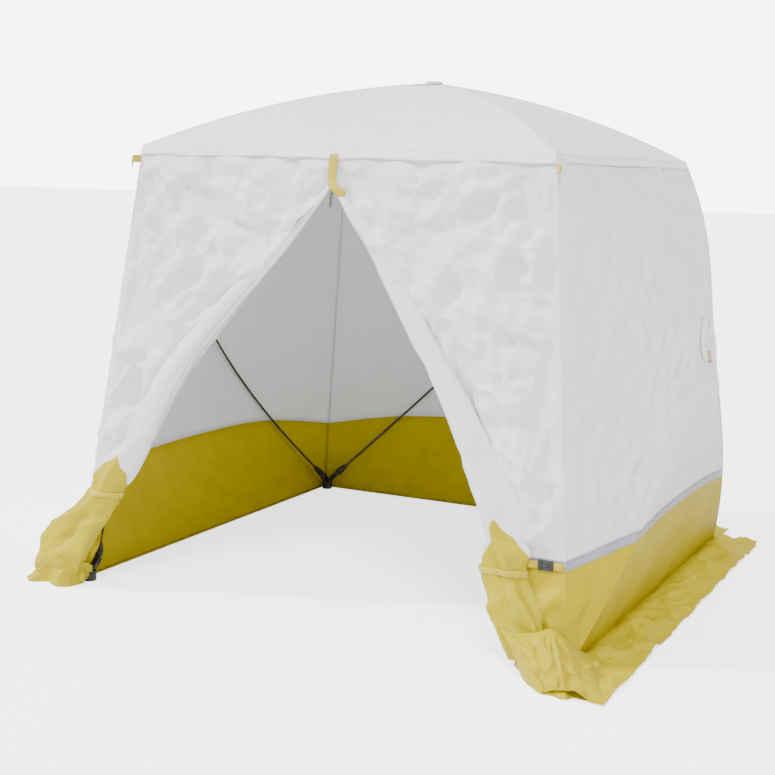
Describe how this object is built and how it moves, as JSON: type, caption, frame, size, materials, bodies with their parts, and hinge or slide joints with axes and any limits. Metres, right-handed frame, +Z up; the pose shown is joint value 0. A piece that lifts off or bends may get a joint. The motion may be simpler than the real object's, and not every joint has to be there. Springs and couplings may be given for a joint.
{
  "type": "pop-up work tent",
  "caption": "Free-standing pop-up work tent: hub-and-rod frame in a white and yellow fabric shell, ground skirts, and a zipped front door tied open at both sides.",
  "frame": {"origin": "on the ground under the middle of the roof, at the centre of the footprint", "axes": "+Z up; the door faces -Y and the back wall is at +Y; +X is to the right for someone looking in through the door"},
  "size_m": [2.2, 2.1997, 1.77],
  "materials": {
    "white_fabric": "coated white fabric, slightly crumpled",
    "yellow_fabric": "glossy coated yellow fabric",
    "grey_tape": "grey reflective seam tape",
    "yellow_webbing": "woven yellow webbing",
    "white_zip": "woven white zip tape",
    "zip_metal": "dull grey zinc zip slider",
    "rod_black": "black glass-fibre rod",
    "black_plastic": "black moulded nylon",
    "grey_plastic": "grey moulded cap",
    "ring_steel": "plated steel wire"
  },
  "bodies": {
    "root": {"buckle_left_socket": "black_plastic", "buckle_right_socket": "black_plastic", "corner_foot_back_left": "black_plastic", "corner_foot_back_right": "black_plastic", "corner_foot_front_left": "black_plastic", "corner_foot_front_right": "black_plastic", "corner_top_back_left": "black_plastic", "corner_top_back_right": "black_plastic", "corner_top_front_left": "black_plastic", "corner_top_front_right": "black_plastic", "door_left_base": "yellow_fabric", "door_left_upper": "white_fabric", "door_right_base": "yellow_fabric", "door_right_upper": "white_fabric", "ring_tab_left": "yellow_webbing", "ring_tab_right": "yellow_webbing", "roof_panel": "white_fabric", "seam_tape": "grey_tape", "skirt_back": "yellow_fabric", "skirt_left": "yellow_fabric", "skirt_right": "yellow_fabric", "wall_back_base": "yellow_fabric", "wall_back_upper": "white_fabric", "wall_left_base": "yellow_fabric", "wall_left_upper": "white_fabric", "wall_right_base": "yellow_fabric", "wall_right_upper": "white_fabric", "zip_top_strap": "yellow_webbing"},
    "hub_right": {"hub_right": "black_plastic", "hub_cap_right": "grey_plastic"},
    "rod_right_top_back": {"rod_right_top_back": "rod_black"},
    "rod_right_top_front": {"rod_right_top_front": "rod_black"},
    "rod_right_foot_front": {"rod_right_foot_front": "rod_black"},
    "rod_right_foot_back": {"rod_right_foot_back": "rod_black"},
    "hub_left": {"hub_left": "black_plastic", "hub_cap_left": "grey_plastic"},
    "rod_left_foot_back": {"rod_left_foot_back": "rod_black"},
    "rod_left_foot_front": {"rod_left_foot_front": "rod_black"},
    "rod_left_top_front": {"rod_left_top_front": "rod_black"},
    "rod_left_top_back": {"rod_left_top_back": "rod_black"},
    "hub_back": {"hub_back": "black_plastic", "hub_cap_back": "grey_plastic"},
    "rod_back_foot_right": {"rod_back_foot_right": "rod_black"},
    "rod_back_foot_left": {"rod_back_foot_left": "rod_black"},
    "rod_back_top_left": {"rod_back_top_left": "rod_black"},
    "rod_back_top_right": {"rod_back_top_right": "rod_black"},
    "hub_roof": {"hub_roof": "black_plastic", "hub_cap_roof": "grey_plastic"},
    "rod_roof_back_left": {"rod_roof_back_left": "rod_black"},
    "rod_roof_front_left": {"rod_roof_front_left": "rod_black"},
    "rod_roof_front_right": {"rod_roof_front_right": "rod_black"},
    "rod_roof_back_right": {"rod_roof_back_right": "rod_black"},
    "zip_tape_left": {"zip_tape_left": "white_zip"},
    "zip_tape_right": {"zip_tape_right": "white_zip"},
    "zip_slider": {"zip_slider": "zip_metal"},
    "buckle_left_plug": {"buckle_left_plug": "black_plastic"},
    "ring_left": {"ring_left": "ring_steel"},
    "buckle_right_plug": {"buckle_right_plug": "black_plastic"},
    "ring_right": {"ring_right": "ring_steel"}
  },
  "joints": [
    {"name": "hub_right_push", "type": "slide", "parent": "root", "child": "hub_right", "axis": [-0.9944, 0, -0.1054], "range_m": [0, 0.45005]},
    {"name": "rod_right_top_back_pivot", "type": "hinge", "parent": "root", "child": "rod_right_top_back", "pos_m": [0.72199, 0.66404, 1.44269], "axis": [0.08, 0.6503, -0.7554], "range_deg": [0, 30.48]},
    {"name": "rod_right_top_front_pivot", "type": "hinge", "parent": "root", "child": "rod_right_top_front", "pos_m": [0.72199, -0.66404, 1.44269], "axis": [-0.08, 0.6503, 0.7554], "range_deg": [0, 30.48]},
    {"name": "rod_right_foot_front_pivot", "type": "hinge", "parent": "root", "child": "rod_right_foot_front", "pos_m": [0.86775, -0.82869, 0.06709], "axis": [-0.0751, -0.7011, 0.7091], "range_deg": [0, 22.77]},
    {"name": "rod_right_foot_back_pivot", "type": "hinge", "parent": "root", "child": "rod_right_foot_back", "pos_m": [0.86775, 0.82869, 0.06709], "axis": [0.0751, -0.7011, -0.7091], "range_deg": [0, 22.77]},
    {"name": "hub_left_push", "type": "slide", "parent": "root", "child": "hub_left", "axis": [0.9944, 0, -0.1054], "range_m": [0, 0.45005]},
    {"name": "rod_left_foot_back_pivot", "type": "hinge", "parent": "root", "child": "rod_left_foot_back", "pos_m": [-0.86775, 0.82869, 0.06709], "axis": [0.0751, 0.7011, 0.7091], "range_deg": [0, 22.77]},
    {"name": "rod_left_foot_front_pivot", "type": "hinge", "parent": "root", "child": "rod_left_foot_front", "pos_m": [-0.86775, -0.82869, 0.06709], "axis": [-0.0751, 0.7011, -0.7091], "range_deg": [0, 22.77]},
    {"name": "rod_left_top_front_pivot", "type": "hinge", "parent": "root", "child": "rod_left_top_front", "pos_m": [-0.72199, -0.66404, 1.44269], "axis": [-0.08, -0.6503, -0.7554], "range_deg": [0, 30.48]},
    {"name": "rod_left_top_back_pivot", "type": "hinge", "parent": "root", "child": "rod_left_top_back", "pos_m": [-0.72199, 0.66404, 1.44269], "axis": [0.08, -0.6503, 0.7554], "range_deg": [0, 30.48]},
    {"name": "hub_back_push", "type": "slide", "parent": "root", "child": "hub_back", "axis": [0, -0.9944, -0.1054], "range_m": [0, 0.45005]},
    {"name": "rod_back_foot_right_pivot", "type": "hinge", "parent": "root", "child": "rod_back_foot_right", "pos_m": [0.82869, 0.86775, 0.06709], "axis": [0.7011, -0.0751, 0.7091], "range_deg": [0, 22.77]},
    {"name": "rod_back_foot_left_pivot", "type": "hinge", "parent": "root", "child": "rod_back_foot_left", "pos_m": [-0.82869, 0.86775, 0.06709], "axis": [0.7011, 0.0751, -0.7091], "range_deg": [0, 22.77]},
    {"name": "rod_back_top_left_pivot", "type": "hinge", "parent": "root", "child": "rod_back_top_left", "pos_m": [-0.66404, 0.72199, 1.44269], "axis": [-0.6503, 0.08, -0.7554], "range_deg": [0, 30.48]},
    {"name": "rod_back_top_right_pivot", "type": "hinge", "parent": "root", "child": "rod_back_top_right", "pos_m": [0.66404, 0.72199, 1.44269], "axis": [-0.6503, -0.08, 0.7554], "range_deg": [0, 30.48]},
    {"name": "hub_roof_push", "type": "slide", "parent": "root", "child": "hub_roof", "axis": [0, 0, -1], "range_m": [0, 0.47005]},
    {"name": "rod_roof_back_left_pivot", "type": "hinge", "parent": "root", "child": "rod_roof_back_left", "pos_m": [-0.66929, 0.66929, 1.485], "axis": [0.7071, 0.7071, 0], "range_deg": [0, 29.35]},
    {"name": "rod_roof_front_left_pivot", "type": "hinge", "parent": "root", "child": "rod_roof_front_left", "pos_m": [-0.66929, -0.66929, 1.485], "axis": [-0.7071, 0.7071, 0], "range_deg": [0, 29.35]},
    {"name": "rod_roof_front_right_pivot", "type": "hinge", "parent": "root", "child": "rod_roof_front_right", "pos_m": [0.66929, -0.66929, 1.485], "axis": [-0.7071, -0.7071, 0], "range_deg": [0, 29.35]},
    {"name": "rod_roof_back_right_pivot", "type": "hinge", "parent": "root", "child": "rod_roof_back_right", "pos_m": [0.66929, 0.66929, 1.485], "axis": [0.7071, -0.7071, 0], "range_deg": [0, 29.35]},
    {"name": "zip_tape_left_swing", "type": "hinge", "parent": "root", "child": "zip_tape_left", "pos_m": [0, -0.75197, 1.397], "axis": [0, 0.9944, -0.1054], "range_deg": [-37.69, 0]},
    {"name": "zip_tape_right_swing", "type": "hinge", "parent": "root", "child": "zip_tape_right", "pos_m": [0, -0.75197, 1.397], "axis": [0, 0.9944, -0.1054], "range_deg": [0, 37.69]},
    {"name": "zip_slider_run", "type": "slide", "parent": "root", "child": "zip_slider", "axis": [0, -0.1054, -0.9944], "range_m": [0, 1.29562]},
    {"name": "buckle_left_release", "type": "slide", "parent": "root", "child": "buckle_left_plug", "axis": [1, 0, 0], "range_m": [0, 0.035]},
    {"name": "ring_left_swing", "type": "hinge", "parent": "root", "child": "ring_left", "pos_m": [-0.76527, -0.76527, 1.465], "axis": [-0.7071, 0.7071, 0], "range_deg": [-12, 60]},
    {"name": "buckle_right_release", "type": "slide", "parent": "root", "child": "buckle_right_plug", "axis": [-1, 0, 0], "range_m": [0, 0.035]},
    {"name": "ring_right_swing", "type": "hinge", "parent": "root", "child": "ring_right", "pos_m": [0.76527, -0.76527, 1.465], "axis": [-0.7071, -0.7071, 0], "range_deg": [-12, 60]}
  ],
  "couplings": [
    {"joint": "rod_right_top_back_pivot", "follows": "hub_right_push", "rad_per_m": 1.1742},
    {"joint": "rod_right_top_front_pivot", "follows": "hub_right_push", "rad_per_m": 1.1742},
    {"joint": "rod_right_foot_front_pivot", "follows": "hub_right_push", "rad_per_m": 0.87546},
    {"joint": "rod_right_foot_back_pivot", "follows": "hub_right_push", "rad_per_m": 0.87546},
    {"joint": "rod_left_foot_back_pivot", "follows": "hub_left_push", "rad_per_m": 0.87546},
    {"joint": "rod_left_foot_front_pivot", "follows": "hub_left_push", "rad_per_m": 0.87546},
    {"joint": "rod_left_top_front_pivot", "follows": "hub_left_push", "rad_per_m": 1.1742},
    {"joint": "rod_left_top_back_pivot", "follows": "hub_left_push", "rad_per_m": 1.1742},
    {"joint": "rod_back_foot_right_pivot", "follows": "hub_back_push", "rad_per_m": 0.87546},
    {"joint": "rod_back_foot_left_pivot", "follows": "hub_back_push", "rad_per_m": 0.87546},
    {"joint": "rod_back_top_left_pivot", "follows": "hub_back_push", "rad_per_m": 1.1742},
    {"joint": "rod_back_top_right_pivot", "follows": "hub_back_push", "rad_per_m": 1.1742},
    {"joint": "rod_roof_back_left_pivot", "follows": "hub_roof_push", "rad_per_m": 1.0823},
    {"joint": "rod_roof_front_left_pivot", "follows": "hub_roof_push", "rad_per_m": 1.0823},
    {"joint": "rod_roof_front_right_pivot", "follows": "hub_roof_push", "rad_per_m": 1.0823},
    {"joint": "rod_roof_back_right_pivot", "follows": "hub_roof_push", "rad_per_m": 1.0823},
    {"joint": "zip_tape_left_swing", "follows": "zip_tape_right_swing", "ratio": -1},
    {"joint": "zip_slider_run", "follows": "zip_tape_right_swing", "m_per_rad": 1.9682}
  ]
}
